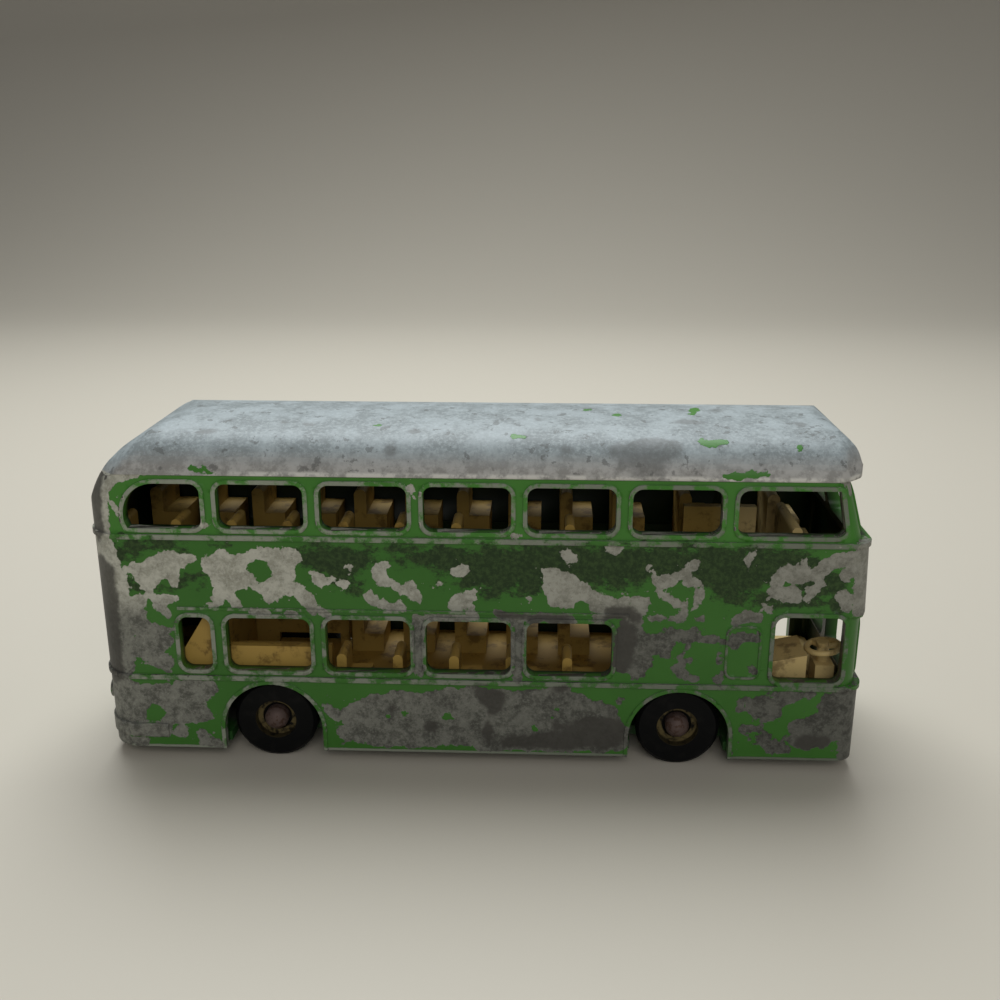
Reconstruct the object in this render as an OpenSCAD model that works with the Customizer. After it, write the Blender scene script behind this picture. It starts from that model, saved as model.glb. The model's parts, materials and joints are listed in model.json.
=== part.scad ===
// Toy double-deck bus: a cast body riveted to a cast base, two moulded decks inside,
// and four wheels that turn on two headed axles.
// Lengths are in millimetres: +X is the front, +Y the left side, +Z up, and z = 0 the ground.

/* [Body] */
// Length over the skin
body_l = 76.6; // [74.6:0.5:80]
// Width over the skin
body_w = 20; // [19.5:0.25:22]
// Height of the lower edge above the ground
skirt_z = 1.3; // [1.1:0.05:1.5]
// Height of the roof's crown above the ground
roof_z = 35.1; // [34.7:0.1:36]
// Thickness of the cast walls
wall_t = 1.1; // [0.9:0.05:1.3]
// Plan radius of the front corners
nose_r = 2; // [1.7:0.1:3]
// Plan radius of the rear corners
tail_r = 3.4; // [2.6:0.1:3.6]
// Distance that the lower windscreen is set back from the nose
cab_back = 0.5; // [0.3:0.05:0.7]
// Distance that the front panel leans back at the waist rib
panel_lean = 0.3; // [0.1:0.05:0.6]
// Distance that the upper windscreen's foot is set back from the nose
screen_foot = 1; // [0.8:0.05:1.2]
// Distance that the upper windscreen's head is set back from the nose
screen_back = 2.8; // [2.4:0.1:2.9]

/* [Roof] */
// Distance from the roof's crown down to the gutter
gutter_drop = 4.4; // [4.2:0.1:4.6]
// Distance that the roof stands out over the window band
gutter_out = 0.15; // [0.05:0.05:0.19]
// Radius of the roof's side edges
roof_edge_r = 4; // [3.4:0.1:4.6]
// Radius of the roof's crown
crown_r = 30; // [26:1:40]
// Radius of the roof's rear dome
dome_r = 10.4; // [9.6:0.1:10.6]
// Radius of the roof's front edge
brow_r = 4; // [3.2:0.1:4.1]
// Distance that the roof's front edge is set back from the nose
brow_back = 1.4; // [1.2:0.05:1.6]
// Plan radius of the roof's front corners
brow_corner_r = 3.6; // [2.8:0.1:3.8]

/* [Ribs and beads] */
// Height of the middle of the belt rib under the lower windows
belt_z = 9.35; // [9.2:0.05:9.45]
// Distance from the roof's crown down to the middle of the waist rib under the upper windows
waist_drop = 10.7; // [10.5:0.1:11.1]
// Height of a rib
rib_h = 0.5; // [0.3:0.05:0.6]
// Distance that a rib stands out
rib_out = 0.2; // [0.2:0.05:0.4]
// Height of the middle of the thin moulding over the lower windows
mould_z = 16.9; // [16.7:0.05:17.2]
// Height of the thin moulding
mould_h = 0.3; // [0.2:0.05:0.4]
// Distance that the thin moulding and the arch lips stand out
mould_out = 0.12; // [0.05:0.01:0.18]
// Width of a window bead
bead_w = 0.42; // [0.3:0.02:0.5]
// Distance that a bead stands out
bead_out = 0.16; // [0.08:0.02:0.18]
// Width of a wheel arch's lip
lip_w = 0.4; // [0.2:0.05:0.6]
// Height of the rear bumper's lower edge above the ground
bumper_z = 2.55; // [2.2:0.05:2.8]
// Height of the rear bumper
bumper_h = 1.5; // [1:0.1:2]
// Length of the rear bumper along each side
bumper_l = 6.55; // [4.5:0.1:8]

/* [Windows] */
// Width of the pillars between the window bays
pillar_w = 1.55; // [1.2:0.05:2]
// Distance from the tail to the middle of the first full bay
bay_start = 17.55; // [17.1:0.05:18]
// Distance from the middle of the last full upper bay to the nose
bay_end = 19.05; // [18.5:0.05:19.5]
// Number of full bays on the upper deck
upper_bays = 5; // [3:1:5]
// Number of full bays on the lower deck's right side
lower_bays = 4; // [3:1:4]
// Distance from the roof's crown down to the upper windows' sills
upper_sill_drop = 9.8; // [9.5:0.05:9.9]
// Distance from the roof's crown down to the upper windows' heads
upper_head_drop = 5.25; // [5.15:0.05:5.5]
// Height of the lower windows' sills
lower_sill_z = 10.25; // [10.1:0.05:10.6]
// Height of the lower windows' heads
lower_head_z = 16; // [15.6:0.05:16.2]
// Corner radius of the openings
window_r = 0.95; // [0.6:0.05:1.3]
// Width of the rear upper quarter window
upper_quarter_w = 7.6; // [6.5:0.1:8]
// Width of the rear lower quarter window
lower_quarter_w = 3.2; // [2.6:0.1:4.5]
// Radius of the rear upper quarter window's top corner
quarter_r = 3.2; // [2:0.1:3.5]
// Distance from the nose to the front edge of the upper front quarter window at its sill
upper_front_gap = 3; // [2.6:0.1:4]
// Distance that the same edge leans back at its head
upper_front_lean = 0.9; // [0.2:0.1:1.5]
// Width of the driver's window
cab_w = 6.75; // [6:0.05:7.4]
// Distance from the nose to the driver's window
cab_gap = 2.25; // [2:0.05:2.8]
// Height of the driver's window's sill
cab_sill_z = 10; // [9.9:0.05:10.5]
// Height of the driver's window's head and of the doorway's head
cab_head_z = 17; // [16.2:0.05:17.4]
// Height of the lower windscreen's head
screen_head_z = 16.3; // [15.8:0.05:16.4]
// Distance from the nose to the doorway
door_gap = 3.1; // [2.6:0.1:3.6]
// Height of the doorway's foot
door_z = 4.4; // [3.6:0.1:5]
// Width of the doorway
door_w = 6.4; // [5.6:0.1:7.2]
// Half the width of the pillar in the middle of the windscreens
screen_pillar = 0.6; // [0.4:0.05:1]
// Distance from the body's side to a windscreen's outer edge
screen_gap = 2.1; // [1.9:0.1:3]

/* [End panels] */
// Distance from the body's side to the blank rear window's outline
rear_gap = 4.4; // [3.5:0.1:6]
// Distance from the roof's crown down to the blank rear window's head
rear_head_drop = 6.5; // [6:0.1:7]
// Distance from the body's side to the blank route box on the front
box_gap = 4.5; // [3.5:0.1:6]
// Share of the front panel's height under the route box
box_low_share = 0.23; // [0.2:0.01:0.3]
// Share of the front panel's height that the route box takes
box_share = 0.53; // [0.4:0.01:0.6]
// Radius of a lamp
lamp_r = 1.05; // [0.7:0.05:1.3]
// Distance from the body's side to the middle of a lamp
lamp_gap = 3.4; // [3:0.1:4.5]
// Height of a lamp's middle
lamp_z = 6.4; // [6:0.1:7]
// Distance from the body's side to the engine cover's outline on the rear
cover_gap = 3.8; // [3:0.1:5]
// Height of the engine cover's lower edge
cover_low_z = 10.6; // [10.4:0.1:11.5]
// Height of the engine cover's upper edge
cover_high_z = 17.2; // [16:0.1:18]
// Width of the hatch outline behind the driver's window
hatch_w = 3.5; // [2.5:0.1:4]
// Distance from the driver's window to the hatch outline
hatch_gap = 1.2; // [0.8:0.1:2]
// Width of the raised line round the hatch
hatch_line = 0.25; // [0.15:0.05:0.4]

/* [Wheels and axles] */
// Radius of a wheel
wheel_r = 4.25; // [4.1:0.05:4.4]
// Width of a wheel
wheel_w = 3; // [2.4:0.1:3.4]
// Distance that a wheel's outer face is set in from the body's side
wheel_inset = 0.9; // [0.8:0.05:1.2]
// Chamfer on a wheel's edges
wheel_edge = 0.35; // [0.1:0.05:0.6]
// Radius of the ring sunk into a wheel's face
ring_r = 2.1; // [1.8:0.05:2.6]
// Depth of that ring
ring_depth = 0.8; // [0.5:0.05:1]
// Radius of the well round the axle's head
well_r = 1.5; // [1.35:0.05:1.7]
// Depth of that well
well_depth = 1.2; // [1.05:0.05:1.4]
// Radius of an axle
axle_r = 0.7; // [0.5:0.05:0.8]
// Radius of an axle's head
head_r = 1.2; // [0.95:0.05:1.3]
// Length of an axle's head
head_l = 1.75; // [1.5:0.05:1.85]
// Distance from the tail to the rear axle
rear_axle_gap = 17.5; // [16.6:0.1:18.1]
// Distance from the front axle to the nose
front_axle_gap = 17.85; // [17:0.05:18.5]
// Radius of a wheel arch
arch_r = 5.06; // [4.9:0.02:5.3]
// Height of a wheel arch's middle above the ground
arch_z = 3.65; // [3.5:0.05:3.9]

/* [Base and rivets] */
// Distance from the skirt's edge up to the base's underside
base_lift = 0.25; // [0.1:0.05:0.4]
// Thickness of the base
base_t = 1; // [0.8:0.05:1.2]
// Radius of a rivet post above the base
post_r = 1.8; // [1.5:0.05:2]
// Radius of a rivet post where it passes through the base
pin_r = 1; // [0.8:0.05:1.2]
// Radius of a rivet's spun head
rivet_r = 1.55; // [1.4:0.05:1.7]
// Thickness of a rivet's spun head
rivet_t = 0.5; // [0.3:0.05:0.7]
// Gap between a rivet post's top and the lower deck
post_gap = 0.3; // [0.1:0.05:0.5]
// Length of a bearing lug along the bus
lug_l = 3; // [2.6:0.1:4]
// Thickness of a bearing lug
lug_t = 1.6; // [1.2:0.1:2]
// Height of a bearing lug above the axle's middle
lug_rise = 1.45; // [1.3:0.05:1.6]
// Gap between a bearing lug and its wheel
lug_gap = 0.3; // [0.15:0.05:0.5]
// Gap between a wheel and an opening in the base or in the lower deck
wheel_gap = 0.55; // [0.3:0.05:0.7]
// Gap between a wheel and the ends of its opening in the lower deck
deck_wheel_gap = 1.2; // [0.6:0.05:1.25]
// Half the width of the raised keel under the base
keel_half_w = 2.6; // [1.5:0.1:3.4]
// Thickness of the raised keel under the base
keel_t = 0.3; // [0.2:0.05:0.4]
// Distance from an axle to the raised keel
keel_gap = 7.6; // [6:0.1:9]

/* [Decks] */
// Thickness of a deck's floor
floor_t = 0.9; // [0.7:0.05:1.1]
// Distance from the roof's crown down to the upper deck's underside
upper_floor_drop = 16.8; // [16.5:0.1:17.4]
// Thickness of the upright plates
plate_t = 1; // [0.8:0.05:1.1]
// Thickness of the left seats' backs
left_back_t = 1.3; // [1:0.05:1.5]
// Distance that the left seats stand behind the right ones
left_shift = 0.3; // [0:0.05:0.5]
// Distance from the tail to the first seat row
row_start = 2.55; // [2.4:0.05:2.8]
// Distance from the last full seat row to the nose
row_end = 24.1; // [23.6:0.1:24.6]
// Number of full seat rows on the upper deck
upper_rows = 10; // [7:1:10]
// Number of seat rows on the lower deck
lower_rows = 5; // [3:1:5]
// Distance between the seat rows on the lower deck
lower_pitch = 5.75; // [5.5:0.05:5.8]
// Distance from the nose to the foremost seat row on the lower deck
lower_row_gap = 29.65; // [29.4:0.05:30]
// Distance from the nose to the seat row beside the stairs
stair_row_gap = 17; // [16:0.1:17.5]
// Distance from the nose to the front seat row
front_row_gap = 7.7; // [7.4:0.1:8.6]
// Height of an upper seat's back above its floor
upper_back_h = 6.4; // [5.8:0.1:6.7]
// Height of a lower seat's back above its floor
lower_back_h = 4.75; // [4:0.1:5.2]
// Height of an upper cushion above its floor
upper_cushion_h = 3.6; // [2.5:0.1:4]
// Height of a lower cushion above its floor
lower_cushion_h = 2.1; // [1.4:0.1:2.6]
// Length of a cushion ahead of its seat's back
cushion_l = 2.2; // [1.8:0.1:2.6]
// Distance from the middle to the right seats' aisle edge
right_aisle_y = 4.8; // [4:0.1:5.2]
// Distance from the middle to the left seats' aisle edge
left_aisle_y = 2.6; // [2.2:0.1:4]
// Gap between the seats and the body's walls
seat_gap = 0.7; // [0.6:0.05:0.9]
// Height of the wheel boxes' upper edge above the ground
box_top_z = 12.3; // [11.5:0.1:12.8]
// Height of the wheel boxes' lower edge above the ground
box_foot_z = 9.6; // [9.3:0.1:10]
// Height of the wheel boxes' aisle plates' lower edge above the ground
aisle_plate_z = 7.8; // [7.4:0.1:8.4]
// Height of the wheel boxes' aisle plates
aisle_plate_h = 3.2; // [2.4:0.1:3.3]
// Length of their feet ahead of the rear bulkhead
aisle_foot_l = 3.6; // [3:0.1:4]
// Thickness of the wheel boxes and of the cheek
cheek_t = 0.8; // [0.6:0.05:1]
// Distance from the rear axle to the front end of the wheel boxes
box_front_l = 5.4; // [5.3:0.1:5.8]
// Distance from the rear axle to the rear bulkhead
bulkhead_l = 6.2; // [5.7:0.1:6.6]
// Length of the cheek behind the rear bulkhead at its foot
cheek_l = 3.4; // [2.5:0.1:4]
// Distance from the upper deck's underside down to the cheek's upper edge
cheek_drop = 1.9; // [1:0.1:3]
// Height of the cheek's rear foot above the ground
cheek_foot_z = 11; // [10:0.1:12]

/* [Stairs and cab] */
// Distance from the nose to the foot of the stairs
stair_foot_gap = 10; // [9.6:0.1:10.6]
// Length of one step
step_l = 1.9; // [1.6:0.05:2]
// Number of steps
steps = 6; // [4:1:6]
// Distance from the middle to the stairs' inner edge
stair_in_y = 1.9; // [1.6:0.1:2.4]
// Gap between the stairs and the openings for the wheels
stair_gap = 0.4; // [0.2:0.05:1]
// Height of the rail round the stairwell above the upper floor
rail_h = 6.4; // [5:0.1:6.6]
// Distance from the stairs' top step to the rail's rear end
rail_gap = 4; // [2:0.1:6]
// Thickness of the partition behind the driver
partition_t = 0.7; // [0.5:0.05:0.9]
// Distance from the nose to the driver's seat's rear
seat_rear_gap = 8.9; // [8.9:0.1:9.2]
// Length of the driver's seat
seat_l = 3.7; // [3:0.1:3.7]
// Width of the driver's seat
seat_w = 4.9; // [4:0.1:5.2]
// Height of the driver's seat above its floor at the rear
seat_h = 4.7; // [4:0.1:5.2]
// Distance that the driver's seat rises towards the front
seat_rise = 0.8; // [0.2:0.1:1]
// Length of the steering pedestal
pedestal_l = 1.9; // [1.4:0.1:2]
// Width of the steering pedestal
pedestal_w = 2.6; // [2:0.1:3.2]
// Height of the steering pedestal above its floor
pedestal_h = 4; // [3.4:0.1:4.4]
// Distance from the nose to the steering wheel's middle
steer_gap = 3.1; // [3:0.05:3.2]
// Distance from the body's side to the steering wheel's middle
steer_side = 4; // [3.8:0.1:4.6]
// Height of the steering wheel's middle above its floor
steer_h = 5.5; // [5:0.1:5.6]
// Radius of the steering wheel's rim
steer_r = 1.65; // [1.4:0.05:1.7]
// Radius of the rim's section
rim_r = 0.3; // [0.2:0.02:0.34]
// Lean of the steering wheel, in degrees
steer_lean = 8; // [0:1:10]
// Number of its spokes
spokes = 3; // [2:1:4]

/* [Fits] */
// Radial clearance of an axle in its bearings and of a wheel on its axle
run_gap = 0.06; // [0.03:0.01:0.09]
// Radial clearance of a rivet pin in the base
pin_gap = 0.05; // [0.02:0.01:0.08]
// Gap between an axle's head and its wheel
head_gap = 0.06; // [0.03:0.01:0.1]
// Gap between the decks and the body's walls
deck_gap = 0.25; // [0.15:0.05:0.4]
// Gap between the base's edge and the body's walls
base_gap = 0.15; // [0.1:0.05:0.25]
// Gap between the upper deck and the stops above it
stop_gap = 0.15; // [0.05:0.05:0.3]
// Height of a stop over the upper deck
stop_h = 0.8; // [0.5:0.1:1.2]
// Distance that a stop reaches in from the wall
stop_w = 0.5; // [0.4:0.05:0.55]

/* [Part] */
// Sub-part to show

/* [Hidden] */
$fn = 64;
paint = [0.2, 0.45, 0.17];
cast = [0.24, 0.38, 0.2];
cream = [0.8, 0.68, 0.42];
steel = [0.5, 0.45, 0.42];
tyre = [0.07, 0.07, 0.08];
// Overrun of a cut past the face it opens
over = 1;
// Overlap of pieces that one casting or moulding joins
weld = 0.2;
tail_x = -body_l / 2;
nose_x = body_l / 2;
half_w = body_w / 2;
in_y = half_w - wall_t;
side_y = half_w + over;
gutter_z = roof_z - gutter_drop;
waist_z = roof_z - waist_drop;
upper_sill_z = roof_z - upper_sill_drop;
upper_head_z = roof_z - upper_head_drop;
rear_head_z = roof_z - rear_head_drop;
upper_floor_z = roof_z - upper_floor_drop;
axle_z = wheel_r;
wheel_face_y = half_w - wheel_inset;
rear_x = tail_x + rear_axle_gap;
front_x = nose_x - front_axle_gap;
bay_x = tail_x + bay_start;
bay_pitch = (body_l - bay_start - bay_end) / (upper_bays - 1);
bay_half = (bay_pitch - pillar_w) / 2;
quarter_x = bay_x - bay_half - pillar_w;
screen_half_w = half_w - screen_gap;
rear_half_w = half_w - rear_gap;
cover_half_w = half_w - cover_gap;
box_half_w = half_w - box_gap;
box_low_z = mould_z + (waist_z - mould_z) * box_low_share;
box_high_z = box_low_z + (waist_z - mould_z) * box_share;
lamp_y = half_w - lamp_gap;
row_pitch = (body_l - row_start - row_end) / (upper_rows - 1);
upper_front_x = bay_x + (upper_bays - 1) * bay_pitch + bay_half + pillar_w;
upper_nose_x = nose_x - upper_front_gap;
mould_end_x = bay_x + (lower_bays - 1) * bay_pitch + bay_half + pillar_w;
cab_x = nose_x - cab_gap;
door_x = nose_x - door_gap;
end_cut = screen_back + wall_t + over;
base_z = skirt_z + base_lift;
base_top = base_z + base_t;
lug_top = axle_z + lug_rise;
lug_y = wheel_face_y - wheel_w - lug_gap;
bore_r = axle_r + run_gap;
lower_floor = lug_top + floor_t;
upper_floor = upper_floor_z + floor_t;
seat_y = in_y - seat_gap;
bulkhead_x = rear_x - bulkhead_l;
opening_y = wheel_face_y - wheel_w - wheel_gap / 2;
stair_out_y = opening_y - stair_gap;
steer_y = half_w - steer_side;
cheek_z = upper_floor_z - cheek_drop;
stair_foot = nose_x - stair_foot_gap;
stair_top = stair_foot - steps * step_l;
rail_x = stair_top + rail_gap;
step_rise = (upper_floor_z - lower_floor) / (steps + 1);
post_x = nose_x - wall_t - post_r + weld;

// Extrude a shape drawn in X and Z from y0 to y1
module across(y0, y1) {
  translate([0, y1, 0]) rotate([90, 0, 0]) linear_extrude(y1 - y0) children();
}

// Extrude a shape drawn in Y and Z from x0 to x1
module along(x0, x1) {
  translate([x0, 0, 0]) rotate([90, 0, 90]) linear_extrude(x1 - x0) children();
}

// Extrude a shape drawn in X and Y from z0 to z1
module upward(z0, z1) {
  translate([0, 0, z0]) linear_extrude(z1 - z0) children();
}

// A block between two corners
module block(a, b) {
  translate(a) cube(b - a);
}

// A rectangle between two corners with radii for its low left, low right, top right and top left
module soft_rect(a, b, r) {
  polygon([[a[0] + r[0], a[1]], [b[0] - r[1], a[1]], [b[0], a[1] + r[1]], [b[0], b[1] - r[2]],
           [b[0] - r[2], b[1]], [a[0] + r[3], b[1]], [a[0], b[1] - r[3]], [a[0], a[1] + r[0]]]);
  translate([a[0] + r[0], a[1] + r[0]]) circle(r[0]);
  translate([b[0] - r[1], a[1] + r[1]]) circle(r[1]);
  translate([b[0] - r[2], b[1] - r[2]]) circle(r[2]);
  translate([a[0] + r[3], b[1] - r[3]]) circle(r[3]);
}

// A rectangle grown by g past its corners, with one radius for its opening
module pane(a, b, g) {
  r = window_r + g;
  soft_rect([a[0] - g, a[1] - g], [b[0] + g, b[1] + g], [r, r, r, r]);
}

// The body in plan, taken in by i, with its front set back by s, front radius r and its tail stretched by l
module plan(i, s = 0, r = nose_r, l = 0) {
  a = tail_r - i;
  b = r - i;
  soft_rect([tail_x + i - l, i - half_w], [nose_x - i - s, half_w - i], [a, b, b, a]);
}

// The body between two heights, with its front set back by s0 at the lower one and by s1 at the upper one
module leaning(z0, z1, s0, s1) {
  intersection() {
    upward(z0, z1) plan(0);
    translate([nose_x - s0, 0, z0]) rotate([0, -atan((s1 - s0) / (z1 - z0)), 0])
      upward(-body_l, body_l) translate([-nose_x, 0]) plan(0, 0, nose_r, body_l);
  }
}

// The body from the side, taken in by i, from the height low, with or without the brow's round
module profile(i, low, brow = true) {
  brow_x = nose_x - brow_back;
  polygon([[tail_x + i, low], [nose_x - i, low], [nose_x - i, belt_z + rib_h / 2],
           [nose_x - cab_back - i, belt_z + rib_h / 2 + cab_back], [nose_x - cab_back - i, mould_z],
           [nose_x - i, mould_z + cab_back], [nose_x - i, mould_z + 2 * cab_back],
           [nose_x - panel_lean - i, waist_z], [nose_x - screen_foot - i, waist_z],
           [nose_x - screen_back - i, gutter_z], [brow_x - i, gutter_z], [brow_x - i, roof_z - brow_r],
           [brow_x - brow_r, roof_z - i], [tail_x + dome_r, roof_z - i], [tail_x + i, roof_z - dome_r]]);
  if (brow) translate([brow_x - brow_r, roof_z - brow_r]) circle(brow_r - i);
  translate([tail_x + dome_r, roof_z - dome_r]) circle(dome_r - i);
}

// The body's section under its roof, taken in by i, from the height low
module section(i, low) {
  edge_y = half_w + gutter_out - roof_edge_r;
  arc_z = roof_z - crown_r;
  edge_z = arc_z + sqrt(pow(crown_r - roof_edge_r, 2) - pow(edge_y, 2));
  meet_y = edge_y * (crown_r - i) / (crown_r - roof_edge_r);
  translate([-edge_y - roof_edge_r + i, low]) square([2 * (edge_y + roof_edge_r - i), edge_z - low]);
  translate([edge_y, edge_z]) circle(roof_edge_r - i);
  translate([-edge_y, edge_z]) circle(roof_edge_r - i);
  intersection() {
    translate([0, arc_z]) circle(crown_r - i, $fn = 360);
    translate([-meet_y, low]) square([2 * meet_y, roof_z - low]);
  }
}

// The closed form of the body
module outer_form() {
  intersection() {
    union() {
      upward(skirt_z, belt_z + rib_h / 2) plan(0);
      upward(belt_z + rib_h / 2, mould_z) plan(0, cab_back);
      leaning(mould_z, waist_z, 0, panel_lean);
      leaning(waist_z, gutter_z, screen_foot, screen_back);
    }
    across(-side_y, side_y) profile(0, skirt_z);
  }
  intersection() {
    upward(gutter_z, roof_z + over) plan(-gutter_out, brow_back, brow_corner_r);
    across(-side_y, side_y) profile(0, skirt_z);
    along(tail_x, nose_x) section(0, skirt_z);
  }
}

// The space inside the walls, open at the bottom
module inner_form() {
  low = skirt_z - over;
  intersection() {
    union() {
      upward(low, gutter_z) plan(wall_t);
      upward(gutter_z, roof_z) plan(wall_t, screen_back);
    }
    across(-side_y, side_y) profile(wall_t, low, false);
    along(tail_x, nose_x) section(wall_t, low);
  }
}

// An arch opening or its lip, grown by g, from the height low
module arch(x, g, low) {
  r = arch_r + g;
  intersection() {
    translate([x, arch_z]) circle(r);
    translate([x - r, arch_z]) square([2 * r, r]);
  }
  translate([x - r, low]) square([2 * r, arch_z - low]);
}

// The upper windows of one side, each grown by g
module upper_panes(g) {
  for (k = [0 : upper_bays - 1]) {
    x = bay_x + k * bay_pitch;
    pane([x - bay_half, upper_sill_z], [x + bay_half, upper_head_z], g);
  }
  r = window_r + g;
  low = [quarter_x - upper_quarter_w - g, upper_sill_z - g];
  high = [quarter_x + g, upper_head_z + g];
  intersection() {
    soft_rect(low, high, [r, r, r, quarter_r + g]);
    translate(low) square(high - low);
  }
  intersection() {
    pane([upper_front_x, upper_sill_z], [upper_nose_x, upper_head_z], g);
    polygon([[upper_front_x - over, upper_sill_z - over], [upper_nose_x + g, upper_sill_z - over],
             [upper_nose_x + g, upper_sill_z], [upper_nose_x + g - upper_front_lean, upper_head_z],
             [upper_nose_x + g - upper_front_lean, upper_head_z + over],
             [upper_front_x - over, upper_head_z + over]]);
  }
}

// The lower windows that both sides have, each grown by g, for the given number of full bays
module lower_panes(g, bays) {
  for (k = [0 : bays - 1]) {
    x = bay_x + k * bay_pitch;
    pane([x - bay_half, lower_sill_z], [x + bay_half, lower_head_z], g);
  }
  pane([quarter_x - lower_quarter_w, lower_sill_z], [quarter_x, lower_head_z], g);
}

// The driver's window, grown by g
module cab_pane(g) {
  pane([cab_x - cab_w, cab_sill_z], [cab_x, cab_head_z], g);
}

// The doorway on the left side, grown by g
module doorway(g) {
  pane([door_x - door_w, door_z], [door_x, cab_head_z], g);
}

// The two panes of a windscreen between two heights, grown by g
module screen(low, high, g) {
  for (s = [-1, 1]) {
    mid = s * (screen_pillar + screen_half_w) / 2;
    half = (screen_half_w - screen_pillar) / 2;
    pane([mid - half, low], [mid + half, high], g);
  }
}

// The raised line round the hatch behind the driver's window
module hatch() {
  x = cab_x - cab_w - hatch_gap;
  low = [x - hatch_w, lower_sill_z];
  high = [x, lower_head_z];
  difference() {
    pane(low, high, 0);
    pane(low, high, -hatch_line);
  }
}

// A raised frame on an end of the body, as wide to each side as half, between two heights
module frame_line(half, low, high) {
  difference() {
    pane([-half, low], [half, high], 0);
    pane([-half, low], [half, high], -bead_w);
  }
}

// What stands out from the body's skin
module raised() {
  upward(belt_z - rib_h / 2, belt_z + rib_h / 2) plan(-rib_out);
  upward(waist_z - rib_h / 2, waist_z + rib_h / 2) plan(-rib_out, panel_lean);
  intersection() {
    upward(bumper_z, bumper_z + bumper_h) plan(-rib_out);
    block([tail_x - over, -side_y, bumper_z], [tail_x + bumper_l, side_y, bumper_z + bumper_h]);
  }
  block([quarter_x - lower_quarter_w, -half_w - mould_out, mould_z - mould_h / 2],
        [mould_end_x, half_w + mould_out, mould_z + mould_h / 2]);
  across(-half_w - bead_out, half_w + bead_out) upper_panes(bead_w);
  across(-half_w - bead_out, 0) lower_panes(bead_w, lower_bays);
  across(0, half_w + bead_out) lower_panes(bead_w, lower_bays + 1);
  across(-half_w - bead_out, 0) cab_pane(bead_w);
  across(0, half_w + bead_out) doorway(bead_w);
  across(-half_w - mould_out, -in_y) hatch();
  for (x = [rear_x, front_x]) across(-half_w - mould_out, half_w + mould_out) arch(x, lip_w, skirt_z);
  intersection() {
    across(-side_y, side_y) profile(-bead_out, skirt_z, false);
    along(0, nose_x + over) {
      screen(upper_sill_z, upper_head_z, bead_w);
      screen(lower_sill_z, screen_head_z, bead_w);
    }
  }
  intersection() {
    across(-side_y, side_y) profile(-bead_out, skirt_z, false);
    along(nose_x - wall_t, nose_x + over) frame_line(box_half_w, box_low_z, box_high_z);
  }
  intersection() {
    across(-side_y, side_y) profile(-bead_out, skirt_z, false);
    along(tail_x - over, tail_x + wall_t) {
      frame_line(rear_half_w, upper_sill_z, rear_head_z);
      frame_line(cover_half_w, cover_low_z, cover_high_z);
    }
  }
  for (s = [-1, 1]) {
    translate([tail_x - bead_out, s * lamp_y, lamp_z]) rotate([0, 90, 0])
      cylinder(h = body_l + 2 * bead_out, r = lamp_r);
  }
}

// What is cut through the body's walls
module openings() {
  across(-side_y, side_y) upper_panes(0);
  across(-side_y, 0) lower_panes(0, lower_bays);
  across(0, side_y) lower_panes(0, lower_bays + 1);
  across(-side_y, 0) cab_pane(0);
  across(0, side_y) doorway(0);
  for (x = [rear_x, front_x]) across(-side_y, side_y) arch(x, 0, skirt_z - over);
  along(nose_x - end_cut, nose_x + over) {
    screen(upper_sill_z, upper_head_z, 0);
    screen(lower_sill_z, screen_head_z, 0);
  }
}

// A post under an end of the body, with its spun head under the base
module rivet_post(x) {
  translate([x, 0, base_top]) cylinder(h = lug_top - post_gap - base_top, r = post_r);
  translate([x, 0, base_z - weld]) cylinder(h = base_top - base_z + 2 * weld, r = pin_r);
  translate([x, 0, base_z - rivet_t]) cylinder(h = rivet_t, r = rivet_r);
}

// The stops on the walls that keep the upper deck down
module deck_stops() {
  low = upper_floor + stop_gap;
  for (s = [-1, 1]) {
    a = s * (in_y - stop_w);
    b = s * (in_y + weld);
    block([quarter_x - upper_quarter_w, min(a, b), low], [upper_front_x, max(a, b), low + stop_h]);
  }
}

module body_shell() {
  color(paint) {
    difference() {
      union() {
        outer_form();
        raised();
      }
      inner_form();
      openings();
    }
    rivet_post(-post_x);
    rivet_post(post_x);
    deck_stops();
  }
}

// The openings for an axle's two wheels, with a gap g at their ends, from z0 to z1
module wheel_openings(x, g, z0, z1) {
  l = wheel_r + g;
  for (s = [-1, 1]) {
    a = s * opening_y;
    b = s * side_y;
    block([x - l, min(a, b), z0], [x + l, max(a, b), z1]);
  }
}

module base_plate() {
  color(cast) {
    difference() {
      union() {
        upward(base_z, base_top) plan(wall_t + base_gap);
        for (x = [rear_x, front_x]) {
          for (s = [-1, 1]) {
            a = s * (lug_y - lug_t);
            b = s * lug_y;
            block([x - lug_l / 2, min(a, b), base_top - weld], [x + lug_l / 2, max(a, b), lug_top]);
          }
        }
        block([rear_x + keel_gap, -keel_half_w, base_z - keel_t],
              [front_x - keel_gap, keel_half_w, base_z + weld]);
      }
      for (x = [rear_x, front_x]) {
        wheel_openings(x, wheel_gap, base_z - over, base_top + over);
        translate([x, side_y, axle_z]) rotate([90, 0, 0]) cylinder(h = 2 * side_y, r = bore_r);
      }
      for (x = [-post_x, post_x]) {
        translate([x, 0, base_z - over]) cylinder(h = base_t + 2 * over, r = pin_r + pin_gap);
      }
    }
  }
}

// A seat at x from y0 to y1, on the floor at z: a back of thickness t with a round top, and a cushion
module seat(x, y0, y1, z, back_h, cushion_h, t) {
  across(y0, y1) {
    translate([x, z - weld]) square([t, back_h + weld - t / 2]);
    translate([x + t / 2, z + back_h - t / 2]) circle(t / 2);
  }
  block([x + t - weld, y0, z - weld], [x + t + cushion_l, y1, z + cushion_h]);
}

// A seat on the right side of a deck
module right_seat(x, z, back_h, cushion_h, aisle_y = right_aisle_y) {
  seat(x, -seat_y, -aisle_y, z, back_h, cushion_h, plate_t);
}

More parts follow.
